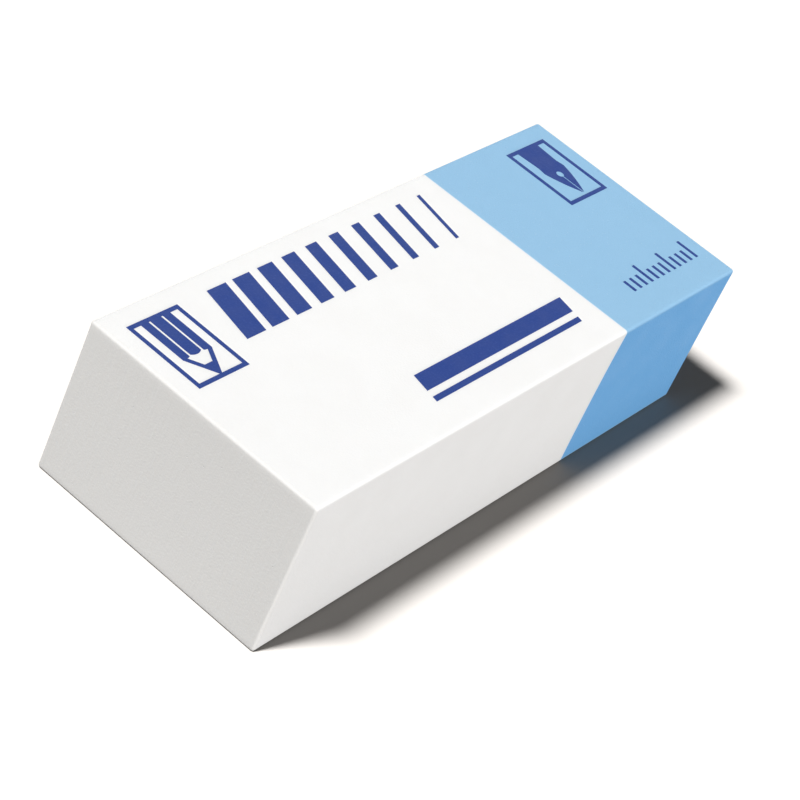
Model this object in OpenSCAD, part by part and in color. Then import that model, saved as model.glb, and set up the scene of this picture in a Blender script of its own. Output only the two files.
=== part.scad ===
// Two-compound rubber eraser: a white pencil block bonded to a light blue ink block.
// The origin is under the middle of the block, +X towards the blue end, +Y to the back, +Z up.

/* [Block] */
// Length of the white pencil compound, from its own end to the bond
white_l = 31.5; // [27:0.5:40]
// Length of the blue ink compound, from the bond to its own end
blue_l = 13.5; // [11:0.5:18]
// Width of the block, front to back
block_w = 17; // [15:0.5:22]
// Height of the block, from the bench to the printed face
block_h = 11; // [8:0.5:15]
// Radius of the edges and corners, softened by tumbling
edge_r = 0.2; // [0.1:0.05:0.8]

/* [Ink] */
// Thickness of the printed ink film
ink_t = 0.02; // [0.01:0.01:0.06]
// Distance from the print to the ends and to the back of the block
print_margin = 1.4; // [1.2:0.1:2]
// Distance from the print to the front of the block
front_margin = 2.2; // [1.5:0.1:2.5]
// Space between two printed marks, and between a mark and the bond
mark_gap = 1.6; // [1:0.1:2]

/* [Symbol frames] */
// Width of a symbol's frame, along the block
frame_w = 4.35; // [4:0.05:5]
// Height of a symbol's frame, across the block
frame_h = 5.65; // [5.5:0.05:6.2]
// Width of a frame's line
frame_line = 0.3; // [0.15:0.01:0.35]

/* [Pencil symbol] */
// Width of the pencil's middle face
middle_face_w = 0.91; // [0.7:0.01:1.1]
// Width of each of its two side faces
side_face_w = 0.62; // [0.4:0.01:0.7]
// Light line between two faces
face_gap = 0.16; // [0.1:0.01:0.25]
// Length of the painted faces, down from the frame's back line
shaft_l = 3.55; // [2.8:0.05:3.7]
// Radius of the scallop that sharpening leaves at the end of a face
scallop_r = 0.8; // [0.6:0.05:1.5]
// Width of the outline of the sharpened cone
cone_line = 0.3; // [0.15:0.01:0.35]
// Length of the lead at the cone's tip
lead_l = 1.1; // [0.7:0.05:1.3]

/* [Nib symbol] */
// Width of the nib's shank at the frame's back line
shank_w = 2.4; // [2.2:0.05:2.6]
// Width of the shank at its waist
waist_w = 2.1; // [1.8:0.05:2.2]
// Distance from the frame's back line to the waist
waist_l = 2; // [1.5:0.05:2.1]
// Width of the nib at its shoulders
nib_w = 2.3; // [2.2:0.05:2.6]
// Distance from the frame's back line to the shoulders
shank_l = 2.6; // [2.3:0.05:2.7]
// Length of the curved point, from the shoulders to the tip
point_l = 2.6; // [2.2:0.05:2.7]
// Swell of the point's two sides, out from a straight line between shoulder and tip
point_swell = 0.1; // [0.05:0.01:0.3]
// Distance from the shoulders to the middle of the breather hole
breather_drop = 0.5; // [0.3:0.05:0.8]
// Diameter of the breather hole
breather_d = 0.55; // [0.3:0.05:0.7]
// Width of the slit between the breather hole and the tip
slit_w = 0.1; // [0.08:0.01:0.2]

/* [Fading bars] */
// Height of the bars, across the block
bar_h = 4.1; // [3:0.1:5]
// Width of the first and boldest bar
first_bar_w = 1.7; // [1.2:0.05:1.9]
// Width of the last and finest bar
last_bar_w = 0.3; // [0.2:0.05:0.6]
// Distance from one bar to the next
bar_pitch = 2.3; // [2:0.05:2.6]
// Lean of the bars and of the rules' ends, sideways run for each unit of height
lean = 0.25; // [0:0.05:0.4]

/* [Double rule] */
// Length of the two rules
rule_l = 15.5; // [10:0.5:20]
// Height of the bold rule
bold_rule_h = 1.3; // [0.8:0.1:1.6]
// Height of the fine rule
fine_rule_h = 0.4; // [0.2:0.05:0.6]
// Space between the two rules
rule_gap = 0.5; // [0.3:0.05:0.8]

/* [Tick row] */
// Length of the row of ticks
tick_row_l = 8.4; // [6:0.1:9]
// Distance from one tick to the next
tick_pitch = 0.7; // [0.5:0.05:1]
// Width of a tick
tick_w = 0.24; // [0.15:0.01:0.35]
// Height of a short tick
short_tick_h = 1; // [0.6:0.1:1.2]
// Height of the long tick that starts each group
long_tick_h = 1.7; // [1.3:0.1:2]
// Ticks in one group
tick_group = 4; // [2:1:6]

/* [Hidden] */
block_l = white_l + blue_l;
white_end_x = -block_l / 2;
blue_end_x = block_l / 2;
bond_x = white_end_x + white_l;
back_y = block_w / 2 - print_margin;
front_y = -block_w / 2 + front_margin;

pencil_w = middle_face_w + 2 * (side_face_w + face_gap);
cone_l = frame_h - frame_line / 2 - shaft_l;
cone_half_angle = atan(pencil_w / 2 / cone_l);
hollow_tip = cone_line / sin(cone_half_angle);
point_chord = norm([nib_w / 2, point_l]);
point_r = pow(point_chord, 2) / (8 * point_swell) + point_swell / 2;
tip_y = -shank_l - point_l;
breather_y = -shank_l - breather_drop;

bars_x = white_end_x + print_margin + frame_w + mark_gap;
bars_l = bond_x - mark_gap - bars_x - lean * bar_h;
bar_count = floor((bars_l - last_bar_w) / bar_pitch) + 1;
tick_count = floor((tick_row_l - tick_w) / tick_pitch) + 1;

white_rubber = [0.98, 0.98, 0.97];
blue_rubber = [0.62, 0.79, 0.92];
print_ink = [0.23, 0.32, 0.6];

$fn = 64;

// Block with every edge and corner rounded by one radius, standing on the bench
module soft_block(l, w, h, r) {
    translate([0, 0, h / 2]) {
        cube([l - 2 * r, w - 2 * r, h], center = true);
        cube([l - 2 * r, w, h - 2 * r], center = true);
        cube([l, w - 2 * r, h - 2 * r], center = true);
        for (y = [-1, 1], z = [-1, 1])
            translate([0, y * (w / 2 - r), z * (h / 2 - r)])
                rotate([0, 90, 0]) cylinder(r = r, h = l - 2 * r, center = true);
        for (x = [-1, 1], z = [-1, 1])
            translate([x * (l / 2 - r), 0, z * (h / 2 - r)])
                rotate([90, 0, 0]) cylinder(r = r, h = w - 2 * r, center = true);
        for (x = [-1, 1], y = [-1, 1])
            translate([x * (l / 2 - r), y * (w / 2 - r), 0])
                cylinder(r = r, h = h - 2 * r, center = true);
        for (x = [-1, 1], y = [-1, 1], z = [-1, 1])
            translate([x * (l / 2 - r), y * (w / 2 - r), z * (h / 2 - r)]) sphere(r = r);
    }
}

// The length of the block that one compound fills, cut off square at the bond
module compound(from_x, to_x) {
    intersection() {
        soft_block(block_l, block_w, block_h, edge_r);
        translate([from_x, -block_w / 2, 0]) cube([to_x - from_x, block_w, block_h]);
    }
}

module pencil_block() {
    color(white_rubber) compound(white_end_x, bond_x);
}

module ink_block() {
    color(blue_rubber) compound(bond_x, blue_end_x);
}

// A flat mark lying on the printed face as a thin film of ink
module film() {
    color(print_ink) translate([0, 0, block_h]) linear_extrude(ink_t) children();
}

// Outline box of a symbol, hanging down from the middle of its back line
module symbol_frame() {
    translate([-frame_w / 2, -frame_h]) difference() {
        square([frame_w, frame_h]);
        translate([frame_line, frame_line]) square([frame_w - 2 * frame_line, frame_h - 2 * frame_line]);
    }
}

// One painted face of the pencil, hanging down from the back line to its scalloped end
module pencil_face(w) {
    translate([-w / 2, scallop_r - shaft_l]) square([w, shaft_l - scallop_r]);
    intersection() {
        translate([-w / 2, -shaft_l]) square([w, scallop_r]);
        translate([0, scallop_r - shaft_l]) circle(r = scallop_r);
    }
}

// Triangle with the slope of the sharpened cone, pointing down to its tip at the origin
module cone_triangle(l) {
    half = l * tan(cone_half_angle);
    polygon([[-half, l], [0, 0], [half, l]]);
}

// Sharpened wood as an outline whose arms run up into the side faces, with a solid lead at the tip
module pencil_cone() {
    intersection() {
        translate([-pencil_w / 2, 0]) square([pencil_w, cone_l + cone_line]);
        difference() {
            cone_triangle(2 * cone_l);
            translate([0, hollow_tip]) cone_triangle(2 * cone_l);
        }
    }
    cone_triangle(lead_l);
}

module pencil_symbol() {
    side_x = (middle_face_w + side_face_w) / 2 + face_gap;
    film() translate([white_end_x + print_margin + frame_w / 2, back_y]) {
        symbol_frame();
        pencil_face(middle_face_w);
        for (side = [-1, 1]) translate([side * side_x, 0]) pencil_face(side_face_w);
        translate([0, -shaft_l - cone_l]) pencil_cone();
    }
}

// Circle whose rim runs from one shoulder of the nib to its tip
module point_side(side) {
    chord_middle = [side * nib_w / 4, (tip_y - shank_l) / 2];
    inwards = [-side * point_l, nib_w / 2] / point_chord;
    translate(chord_middle + (point_r - point_swell) * inwards) circle(r = point_r, $fn = 256);
}

// Writing nib: a waisted shank that spreads into the shoulders, then two arcs that meet in the tip
module nib() {
    difference() {
        union() {
            polygon([
                [-shank_w / 2, 0], [-waist_w / 2, -waist_l], [-nib_w / 2, -shank_l],
                [nib_w / 2, -shank_l], [waist_w / 2, -waist_l], [shank_w / 2, 0]
            ]);
            intersection() {
                translate([-nib_w / 2, tip_y]) square([nib_w, point_l]);
                point_side(-1);
                point_side(1);
            }
        }
        translate([0, breather_y]) circle(d = breather_d);
        translate([-slit_w / 2, tip_y]) square([slit_w, breather_y - tip_y]);
    }
}

module nib_symbol() {
    film() translate([blue_end_x - print_margin - frame_w / 2, back_y]) {
        symbol_frame();
        nib();
    }
}

// Bar that leans to the right as it rises
module leaning_bar(w, h) {
    polygon([[0, 0], [w, 0], [w + lean * h, h], [lean * h, h]]);
}

module fading_bars() {
    film() for (i = [0:bar_count - 1]) {
        fade = i / max(bar_count - 1, 1);
        translate([bars_x + i * bar_pitch, back_y - bar_h])
            leaning_bar(first_bar_w + (last_bar_w - first_bar_w) * fade, bar_h);
    }
}

module double_rule() {
    rise = fine_rule_h + rule_gap;
    film() translate([bond_x - mark_gap - rule_l - lean * (rise + bold_rule_h), front_y]) {
        leaning_bar(rule_l, fine_rule_h);
        translate([lean * rise, rise]) leaning_bar(rule_l, bold_rule_h);
    }
}

module tick_row() {
    film() for (i = [0:tick_count - 1])
        translate([blue_end_x - print_margin - tick_w - i * tick_pitch, front_y])
            square([tick_w, i % tick_group == 0 ? long_tick_h : short_tick_h]);
}

pencil_block();
ink_block();
pencil_symbol();
nib_symbol();
fading_bars();
double_rule();
tick_row();
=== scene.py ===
import math

import bmesh
import bpy
from mathutils import Matrix, Vector, noise


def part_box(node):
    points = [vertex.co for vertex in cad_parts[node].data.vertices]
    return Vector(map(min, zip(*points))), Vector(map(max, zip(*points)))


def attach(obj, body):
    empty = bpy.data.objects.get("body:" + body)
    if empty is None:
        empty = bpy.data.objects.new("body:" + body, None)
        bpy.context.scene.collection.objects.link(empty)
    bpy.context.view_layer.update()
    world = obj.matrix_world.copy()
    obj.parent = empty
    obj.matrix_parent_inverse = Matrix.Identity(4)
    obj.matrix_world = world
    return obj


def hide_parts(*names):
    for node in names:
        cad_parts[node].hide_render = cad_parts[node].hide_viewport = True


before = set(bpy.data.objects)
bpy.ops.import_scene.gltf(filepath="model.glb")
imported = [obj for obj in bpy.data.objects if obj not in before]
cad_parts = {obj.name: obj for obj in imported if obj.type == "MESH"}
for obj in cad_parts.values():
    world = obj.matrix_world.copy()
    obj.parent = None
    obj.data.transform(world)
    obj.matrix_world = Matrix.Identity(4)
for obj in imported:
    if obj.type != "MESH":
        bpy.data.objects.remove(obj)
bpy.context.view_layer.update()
mm = 0.001
nearby = 1e-7  # metres within which two points count as one
blankLow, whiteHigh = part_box("pencil_block")
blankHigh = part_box("ink_block")[1]
bondX = whiteHigh.x
print("frame loaded:", sorted(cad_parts))


def addToScene(name, data):
    thing = bpy.data.objects.new(name, data)
    bpy.context.scene.collection.objects.link(thing)
    return thing


# Camera: it looks down on the white end and is rolled, so the block climbs to the right
cameraSetup = {
    "azimuth": -67.1,  # degrees round the block, 0 is square on to the front
    "elevation": 35.35,
    "roll": 25.25,
    "distance": 162.6 * mm,
    "aim": Vector((-3.55, -2.05, 5.5)) * mm,
    "lens": 122.6,  # in mm, as the sensor is
    "sensor": 36,
    "nearest": 10 * mm,
    "furthest": 10.0,
}


def placeCamera(user):
    turn, rise, roll = (math.radians(user[k]) for k in ("azimuth", "elevation", "roll"))
    back = Vector((math.sin(turn) * math.cos(rise), -math.cos(turn) * math.cos(rise), math.sin(rise)))
    level = Vector((math.cos(turn), math.sin(turn), 0))
    upright = back.cross(level)
    right = level * math.cos(roll) + upright * math.sin(roll)
    up = upright * math.cos(roll) - level * math.sin(roll)
    data = bpy.data.cameras.new("camera")
    data.lens = user["lens"]
    data.sensor_width = user["sensor"]
    data.clip_start = user["nearest"]
    data.clip_end = user["furthest"]
    camera = addToScene("camera", data)
    turned = Matrix((right, up, back)).transposed().to_4x4()
    camera.matrix_world = Matrix.Translation(user["aim"] + back * user["distance"]) @ turned
    bpy.context.scene.camera = camera


placeCamera(cameraSetup)
print("camera placed")


# Shader helpers
def newMaterial(name):
    material = bpy.data.materials.new(name)
    material.use_nodes = True
    tree = material.node_tree
    tree.nodes.clear()
    output = tree.nodes.new("ShaderNodeOutputMaterial")
    surface = tree.nodes.new("ShaderNodeBsdfPrincipled")
    tree.links.new(surface.outputs["BSDF"], output.inputs["Surface"])
    return material, tree, surface


def addNode(tree, kind, **settings):
    node = tree.nodes.new(kind)
    for key, value in settings.items():
        setattr(node, key, value)
    return node


def feed(tree, socket, value):
    # A socket takes another node's output or a plain value
    if isinstance(value, bpy.types.NodeSocket):
        tree.links.new(value, socket)
    else:
        socket.default_value = value


def calc(tree, operation, first, second=0.0, third=0.0):
    node = addNode(tree, "ShaderNodeMath", operation=operation)
    for socket, value in zip(node.inputs, (first, second, third)):
        feed(tree, socket, value)
    return node.outputs[0]


def ramp(tree, value, low, high, toLow=0.0, toHigh=1.0):
    node = addNode(tree, "ShaderNodeMapRange", interpolation_type="SMOOTHSTEP")
    bounds = {"From Min": low, "From Max": high, "To Min": toLow, "To Max": toHigh}
    feed(tree, node.inputs["Value"], value)
    for name, bound in bounds.items():
        feed(tree, node.inputs[name], bound)
    return node.outputs["Result"]


def blendColour(tree, share, first, second):
    # On a Mix node set to colours, these are inputs 6 and 7 and output 2
    node = addNode(tree, "ShaderNodeMix", data_type="RGBA")
    feed(tree, node.inputs[0], share)
    feed(tree, node.inputs[6], first)
    feed(tree, node.inputs[7], second)
    return node.outputs[2]


def millimetres(tree, stretch=(1, 1, 1), turn=(0, 0, 0)):
    # Place on the block in mm, so that a pattern's scale is about its count in each mm
    place = addNode(tree, "ShaderNodeTexCoord")
    mapping = addNode(tree, "ShaderNodeMapping")
    mapping.inputs["Scale"].default_value = [s / mm for s in stretch]
    mapping.inputs["Rotation"].default_value = turn
    tree.links.new(place.outputs["Object"], mapping.inputs["Vector"])
    return mapping.outputs["Vector"]


def grainNoise(tree, where, scale, detail, rough):
    node = addNode(tree, "ShaderNodeTexNoise", noise_dimensions="3D")
    settings = {"Vector": where, "Scale": scale, "Detail": detail, "Roughness": rough}
    for name, value in settings.items():
        feed(tree, node.inputs[name], value)
    return node.outputs["Fac"]


def newGroup(name, inputs, outputs):
    group = bpy.data.node_groups.new(name, "ShaderNodeTree")
    for label, value in inputs.items():
        socket = group.interface.new_socket(name=label, in_out="INPUT", socket_type="NodeSocketFloat")
        socket.default_value = value
    for label in outputs:
        group.interface.new_socket(name=label, in_out="OUTPUT", socket_type="NodeSocketFloat")
    return group, group.nodes.new("NodeGroupInput"), group.nodes.new("NodeGroupOutput")


def useGroup(tree, group, **values):
    node = addNode(tree, "ShaderNodeGroup")
    node.node_tree = group
    for label, value in values.items():
        node.inputs[label].default_value = value
    return node


# Soft rubber skin: cloudy compound, fine pebbled grain and a few pin-sized pits
skinPattern = {
    "inputs": {"grainScale": 9.0, "cloudScale": 0.45, "pitScale": 1.6, "pitSize": 0.09},
    "grain": {"detail": 3.0, "rough": 0.55},
    "cloud": {"detail": 3.0, "rough": 0.5},
    "cloudRange": (0.3, 0.7),  # noise that counts as no cloud and as full cloud
    "pitFloor": 0.4,  # share of a pit's radius that lies at its full depth
}


def makeRubberSkin(user):
    group, given, result = newGroup("rubberSkin", user["inputs"], ("grain", "cloud", "pits"))
    where = millimetres(group)
    grain = grainNoise(group, where, given.outputs["grainScale"], **user["grain"])
    cloud = grainNoise(group, where, given.outputs["cloudScale"], **user["cloud"])
    pitCells = addNode(group, "ShaderNodeTexVoronoi", feature="F1")
    feed(group, pitCells.inputs["Vector"], where)
    feed(group, pitCells.inputs["Scale"], given.outputs["pitScale"])
    pitFloor = calc(group, "MULTIPLY", given.outputs["pitSize"], user["pitFloor"])
    pit = ramp(group, pitCells.outputs["Distance"], pitFloor, given.outputs["pitSize"], 1.0, 0.0)
    group.links.new(grain, result.inputs["grain"])
    group.links.new(ramp(group, cloud, *user["cloudRange"]), result.inputs["cloud"])
    group.links.new(pit, result.inputs["pits"])
    return group


# Which face a point lies on, read from its place in the block: 1 on the face, 0 away from it
maskInputs = {"fade": 0.3, "bondWidth": 0.1}  # in mm


def makeFaceMasks(inputs, low, high, jointX):
    # The end mask carries both the knife drag and the white's painted end shade
    group, given, result = newGroup("faceMasks", inputs, ("paintedLitFace", "cutEndAndShade", "bondLine"))
    place = addNode(group, "ShaderNodeSeparateXYZ")
    group.links.new(millimetres(group), place.inputs["Vector"])
    centre, half = (low + high) / 2 / mm, (high - low) / 2 / mm
    # The top-and-underside mask carries the blue's painted light and shade
    for axis, label, name in ((0, "X", "cutEndAndShade"), (2, "Z", "paintedLitFace")):
        reach = calc(group, "ABSOLUTE", calc(group, "SUBTRACT", place.outputs[label], centre[axis]))
        start = calc(group, "SUBTRACT", half[axis], given.outputs["fade"])
        group.links.new(ramp(group, reach, start, half[axis]), result.inputs[name])
    fromJoint = calc(group, "ABSOLUTE", calc(group, "SUBTRACT", place.outputs["X"], jointX / mm))
    line = ramp(group, fromJoint, 0.0, given.outputs["bondWidth"], 1.0, 0.0)
    group.links.new(line, result.inputs["bondLine"])
    return group


# Knife drag: shallow scratches that a guillotine leaves on a cut end, nearly upright
dragPattern = {
    "inputs": {"lineScale": 5.0},
    "stretch": (1, 1, 0.06),  # draws the noise out into upright lines
    "lean": (0.06, 0, 0),  # in radians
    "line": {"detail": 4.0, "rough": 0.6},
}


def makeKnifeDrag(user):
    group, given, result = newGroup("knifeDrag", user["inputs"], ("drag",))
    where = millimetres(group, user["stretch"], user["lean"])
    lines = grainNoise(group, where, given.outputs["lineScale"], **user["line"])
    group.links.new(lines, result.inputs["drag"])
    return group


rubberSkin = makeRubberSkin(skinPattern)
faceMasks = makeFaceMasks(maskInputs, blankLow, blankHigh, bondX)
knifeDrag = makeKnifeDrag(dragPattern)
print("shader groups built")


def addRoughness(tree, surface, share, low, high):
    feed(tree, surface.inputs["Roughness"], calc(tree, "MULTIPLY_ADD", share, high - low, low))


def addBump(tree, surface, height, depth):
    bump = addNode(tree, "ShaderNodeBump")
    bump.inputs["Distance"].default_value = depth
    feed(tree, bump.inputs["Height"], height)
    tree.links.new(bump.outputs["Normal"], surface.inputs["Normal"])


def addCutRelief(tree, surface, user, faces, dents):
    # Dents all over, and on the two ends the knife's drag as well
    knife = useGroup(tree, knifeDrag, lineScale=user["dragScale"])
    cut = calc(tree, "MULTIPLY", knife.outputs["drag"], faces.outputs["cutEndAndShade"])
    cutDepth = calc(tree, "MULTIPLY", cut, user["dragDepth"] / user["grainDepth"])
    addBump(tree, surface, calc(tree, "ADD", dents, cutDepth), user["grainDepth"])


whiteFinish = {
    "colour": (0.935, 0.935, 0.93, 1),
    "cloudColour": (0.922, 0.92, 0.913, 1),
    "paintedShadeEndColour": (0.928, 0.913, 0.892, 1),  # painted shade: the ends are painted a little warmer and darker
    "skin": {"grainScale": 7.0, "cloudScale": 0.35, "pitScale": 1.1, "pitSize": 0.05},
    "faces": {"fade": 0.35},  # mm over which one face's look turns into the next one's
    "roughness": (0.52, 0.64),  # between the clouds and in them
    "specular": 0.22,
    "grainDepth": 0.018 * mm,
    "dragDepth": 0.035 * mm,
    "dragScale": 4.0,
    "translucency": 0.1,
    "bleedColour": (1.0, 0.95, 0.9),
    "bleedDepth": 0.5 * mm,
}


def makeWhiteRubber(user):
    material, tree, surface = newMaterial("whiteVinyl")
    skin = useGroup(tree, rubberSkin, **user["skin"])
    faces = useGroup(tree, faceMasks, **user["faces"])
    clouded = blendColour(tree, skin.outputs["cloud"], user["colour"], user["cloudColour"])
    # Painted shade: the white's end face takes a warmer, darker colour
    whole = blendColour(tree, faces.outputs["cutEndAndShade"], clouded, user["paintedShadeEndColour"])
    feed(tree, surface.inputs["Base Color"], whole)
    addRoughness(tree, surface, skin.outputs["cloud"], *user["roughness"])
    dents = calc(tree, "SUBTRACT", skin.outputs["grain"], skin.outputs["pits"])
    addCutRelief(tree, surface, user, faces, dents)
    surface.inputs["Subsurface Weight"].default_value = user["translucency"]
    surface.inputs["Subsurface Radius"].default_value = user["bleedColour"]
    surface.inputs["Subsurface Scale"].default_value = user["bleedDepth"]
    surface.inputs["Specular IOR Level"].default_value = user["specular"]
    return material


# Painted light and shade: the blue compound's top and underside are painted paler than its sides, which
# are painted a deeper shaded blue
blueFinish = {
    "paintedLitColour": (0.304, 0.543, 0.775, 1),
    "paintedShadeColour": (0.168, 0.435, 0.79, 1),
    "bondColour": (0.8, 0.9, 0.98, 1),
    "gritColour": (0.7, 0.83, 0.95, 1),
    "gritShare": 0.3,  # how far a grain of grit shows through
    "gritHeight": 0.6,  # in grain depths
    "skin": {"grainScale": 9.0, "cloudScale": 0.4, "pitScale": 3.4, "pitSize": 0.13},
    "faces": {"fade": 0.35, "bondWidth": 0.12},
    "roughness": (0.6, 0.75),
    "specular": 0.2,
    "grainDepth": 0.032 * mm,
    "dragDepth": 0.035 * mm,
    "dragScale": 4.0,
}


def makeBlueRubber(user):
    # The skin's pits stand out here instead, as grains of grit
    material, tree, surface = newMaterial("blueAbrasiveRubber")
    skin = useGroup(tree, rubberSkin, **user["skin"])
    faces = useGroup(tree, faceMasks, **user["faces"])
    # Painted shade: the sides take the deeper blue, the top and underside the paler painted light
    body = blendColour(tree, faces.outputs["paintedLitFace"], user["paintedShadeColour"], user["paintedLitColour"])
    grit = calc(tree, "MULTIPLY", skin.outputs["pits"], user["gritShare"])
    gritty = blendColour(tree, grit, body, user["gritColour"])
    bonded = blendColour(tree, faces.outputs["bondLine"], gritty, user["bondColour"])
    feed(tree, surface.inputs["Base Color"], bonded)
    addRoughness(tree, surface, skin.outputs["cloud"], *user["roughness"])
    lift = calc(tree, "MULTIPLY", skin.outputs["pits"], user["gritHeight"])
    addCutRelief(tree, surface, user, faces, calc(tree, "ADD", skin.outputs["grain"], lift))
    surface.inputs["Specular IOR Level"].default_value = user["specular"]
    return material


inkFinish = {
    "colour": (0.006, 0.038, 0.225, 1),
    "thinColour": (0.022, 0.062, 0.275, 1),
    "thinRange": (0.45, 0.75),  # grain at which the ink starts to thin and is thinnest
    "thinShare": 0.5,  # most that a thin spot in the ink lightens
    "skin": {"grainScale": 7.0, "cloudScale": 0.8, "pitScale": 2.0, "pitSize": 0.06},
    "roughness": (0.42, 0.54),
    "specular": 0.25,
    "grainDepth": 0.006 * mm,
}


def makeInk(user):
    material, tree, surface = newMaterial("printInk")
    skin = useGroup(tree, rubberSkin, **user["skin"])
    thin = ramp(tree, skin.outputs["grain"], *user["thinRange"], 0.0, user["thinShare"])
    feed(tree, surface.inputs["Base Color"], blendColour(tree, thin, user["colour"], user["thinColour"]))
    addRoughness(tree, surface, skin.outputs["cloud"], *user["roughness"])
    addBump(tree, surface, skin.outputs["grain"], user["grainDepth"])
    surface.inputs["Specular IOR Level"].default_value = user["specular"]
    return material


whiteRubber = makeWhiteRubber(whiteFinish)
blueRubber = makeBlueRubber(blueFinish)
printInk = makeInk(inkFinish)
print("materials built")


# Rubber block: one blank for both compounds, so that its faces run on across the bond
blankShape = {
    "edgeRadius": 0.2 * mm,
    "edgeSegments": 6,
    "gridStep": 0.45 * mm,  # between the slices that let a side bend
    "sink": 0.05 * mm,  # how far a side draws in at its middle
    "ripple": 0.02 * mm,  # unevenness of the sides
    "rippleSize": 6 * mm,  # from one bump of it to the next, about
    "sideHold": 8,  # power that keeps the drawing in on a side's own face
    "edgeHold": 6,  # power that keeps it off the top and bottom edges
}


def allOf(mesh):
    return mesh.verts[:] + mesh.edges[:] + mesh.faces[:]


def sliceAcross(mesh, axis, low, high, step):
    count = max(int((high - low) / step), 1)
    normal = Vector((0, 0, 0))
    normal[axis] = 1
    for i in range(1, count):
        point = normal * (low + (high - low) * i / count)
        bmesh.ops.bisect_plane(mesh, geom=allOf(mesh), plane_co=point, plane_no=normal, dist=nearby)


def makeBlank(user, low, high):
    size, centre = high - low, (high + low) / 2
    mesh = bmesh.new()
    bmesh.ops.create_cube(mesh, size=1)
    bmesh.ops.scale(mesh, vec=size, verts=mesh.verts)
    bmesh.ops.translate(mesh, vec=centre, verts=mesh.verts)
    bmesh.ops.bevel(
        mesh, geom=mesh.verts[:] + mesh.edges[:], offset=user["edgeRadius"], offset_type="OFFSET",
        segments=user["edgeSegments"], profile=0.5, affect="EDGES", material=-1,
    )
    for axis in range(3):
        sliceAcross(mesh, axis, low[axis], high[axis], user["gridStep"])
    return mesh


def settleFaces(mesh, user, low, high):
    # The sides draw in a little at their middle; the printed face and the underside stay true
    centre, half = (low + high) / 2, (high - low) / 2
    for vert in mesh.verts:
        out = vert.co - centre
        share = [out[i] / half[i] for i in range(3)]  # -1 to 1 along each axis
        upright = 1 - abs(share[2]) ** user["edgeHold"]
        wave = (noise.noise(vert.co / user["rippleSize"]) + 1) / 2  # 0 to 1
        for axis, across in ((1, 0), (0, 1)):
            side = abs(share[axis]) ** user["sideHold"]
            bow = (1 - share[across] ** 2) * (1 - share[2] ** 2)
            draw = upright * side * (user["sink"] * bow + user["ripple"] * wave)
            vert.co[axis] -= math.copysign(draw, out[axis])


def cutAcross(mesh, atX, keepLow):
    normal = Vector((1 if keepLow else -1, 0, 0))
    cut = bmesh.ops.bisect_plane(
        mesh, geom=allOf(mesh), plane_co=(atX, 0, 0), plane_no=normal, dist=nearby, clear_outer=True
    )
    rim = [e for e in cut["geom_cut"] if isinstance(e, bmesh.types.BMEdge)]
    bmesh.ops.contextual_create(mesh, geom=rim)
    for edge in rim:
        edge.smooth = False


def sortFaces(mesh):
    # Cuts leave the faces in an order that varies from run to run, so their place sets it here
    ranked = sorted(mesh.faces, key=lambda face: tuple(face.calc_center_median()))
    rank = {face: i for i, face in enumerate(ranked)}
    mesh.faces.sort(key=rank.get)


def meshToScene(mesh, name, material):
    data = bpy.data.meshes.new(name)
    mesh.to_mesh(data)
    mesh.free()
    data.materials.append(material)
    return addToScene(name, data)


def makeBlock(user, name, node, material, keepLow):
    mesh = makeBlank(user, blankLow, blankHigh)
    settleFaces(mesh, user, blankLow, blankHigh)
    cutAcross(mesh, bondX, keepLow)
    bmesh.ops.remove_doubles(mesh, verts=mesh.verts, dist=nearby)
    bmesh.ops.recalc_face_normals(mesh, faces=mesh.faces)
    sortFaces(mesh)
    for face in mesh.faces:
        face.smooth = True
    piece = meshToScene(mesh, name, material)
    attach(piece, "root")
    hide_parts(node)
    print(name, "has", len(piece.data.polygons), "faces")


makeBlock(blankShape, "whitePencilEnd", "pencil_block", whiteRubber, keepLow=True)
makeBlock(blankShape, "blueInkEnd", "ink_block", blueRubber, keepLow=False)


# Printed marks: the frame's own films, in ink
for mark in ("pencil_symbol", "nib_symbol", "fading_bars", "double_rule", "tick_row"):
    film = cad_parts[mark]
    film.data.materials.clear()
    film.data.materials.append(printInk)
print("print inked")


# Floor and light: the floor has a sun of its own, so one firm shadow lies on it
floorSetup = {
    "size": 3.0,
    "drop": 0.005 * mm,  # keeps it clear of the underside
    "seenColour": (0.3, 0.2875, 0.275, 1),
    "bounceColour": (0.033, 0.033, 0.033, 1),  # what the eraser sees of it
}
# A lamp shines in from the direction "from", and its angle in degrees sets how soft its shadow is
eraserLamps = {
    "key": {"from": (-0.81, 0.15, 1.0), "strength": 2.77, "angle": 12, "colour": (1, 1, 0.995)},
    "fill": {"from": (0.12, -1.0, 0.18), "strength": 2.19, "angle": 20, "colour": (1, 0.985, 0.975)},
    "back": {"from": (0.8, 0.9, 0.35), "strength": 0.7, "angle": 30, "colour": (1, 1, 1)},
}
floorLamps = {
    "floorSun": {"from": (-0.56, 0.21, 1.0), "strength": 12.85, "angle": 9, "colour": (1, 1, 1)},
}
skySetup = {
    "colour": (1, 1, 1, 1),
    "ambient": 0.17,  # strength as light
    "seen": 1.0,  # strength as what the camera sees
}


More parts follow.
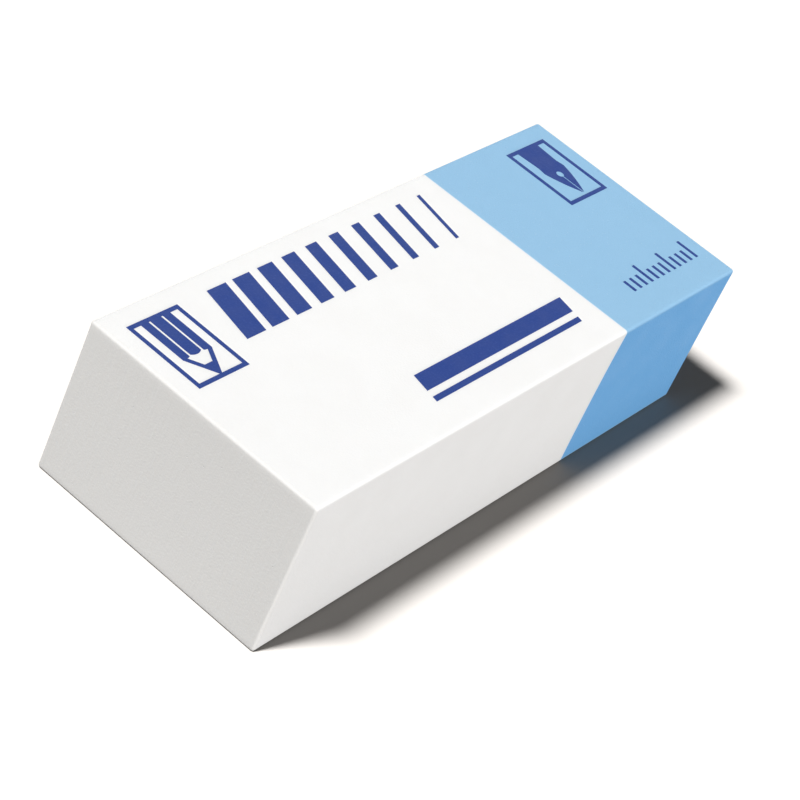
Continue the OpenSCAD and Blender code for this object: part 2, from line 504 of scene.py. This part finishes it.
def seenOutright(tree):
    # 1 for what the camera sees straight, in a reflection or through glass
    path = addNode(tree, "ShaderNodeLightPath")
    direct = calc(tree, "MAXIMUM", path.outputs["Is Camera Ray"], path.outputs["Is Transmission Ray"])
    return calc(tree, "MAXIMUM", direct, path.outputs["Is Glossy Ray"])


def makeFloor(user):
    material, tree, surface = newMaterial("floorPaper")
    colour = blendColour(tree, seenOutright(tree), user["bounceColour"], user["seenColour"])
    feed(tree, surface.inputs["Base Color"], colour)
    surface.inputs["Roughness"].default_value = 1
    surface.inputs["Specular IOR Level"].default_value = 0
    mesh = bmesh.new()
    bmesh.ops.create_grid(mesh, x_segments=1, y_segments=1, size=user["size"] / 2)
    bmesh.ops.translate(mesh, vec=(0, 0, -user["drop"]), verts=mesh.verts)
    floor = meshToScene(mesh, "floor", material)
    return floor


def makeLamp(name, user, floor, onFloor):
    # A lamp reaches either the floor alone or everything but the floor
    data = bpy.data.lights.new(name, "SUN")
    data.energy = user["strength"]
    data.color = user["colour"]
    data.angle = math.radians(user["angle"])
    lamp = addToScene(name, data)
    lamp.rotation_mode = "QUATERNION"
    lamp.rotation_quaternion = Vector(user["from"]).to_track_quat("Z", "Y")
    reach = bpy.data.collections.new(name + "Reach")
    reach.objects.link(floor)
    reach.collection_objects[0].light_linking.link_state = "INCLUDE" if onFloor else "EXCLUDE"
    lamp.light_linking.receiver_collection = reach


def makeSky(user):
    world = bpy.data.worlds.new("studio")
    bpy.context.scene.world = world
    world.use_nodes = True
    tree = world.node_tree
    background = tree.nodes["Background"]
    extra = user["seen"] - user["ambient"]
    strength = calc(tree, "MULTIPLY_ADD", seenOutright(tree), extra, user["ambient"])
    feed(tree, background.inputs["Strength"], strength)
    background.inputs["Color"].default_value = user["colour"]


studioFloor = makeFloor(floorSetup)
for lamps, onFloor in ((eraserLamps, False), (floorLamps, True)):
    for lampName, lampSetup in lamps.items():
        makeLamp(lampName, lampSetup, studioFloor, onFloor)
makeSky(skySetup)
bpy.context.scene.view_settings.view_transform = "Standard"
print("floor and light set")
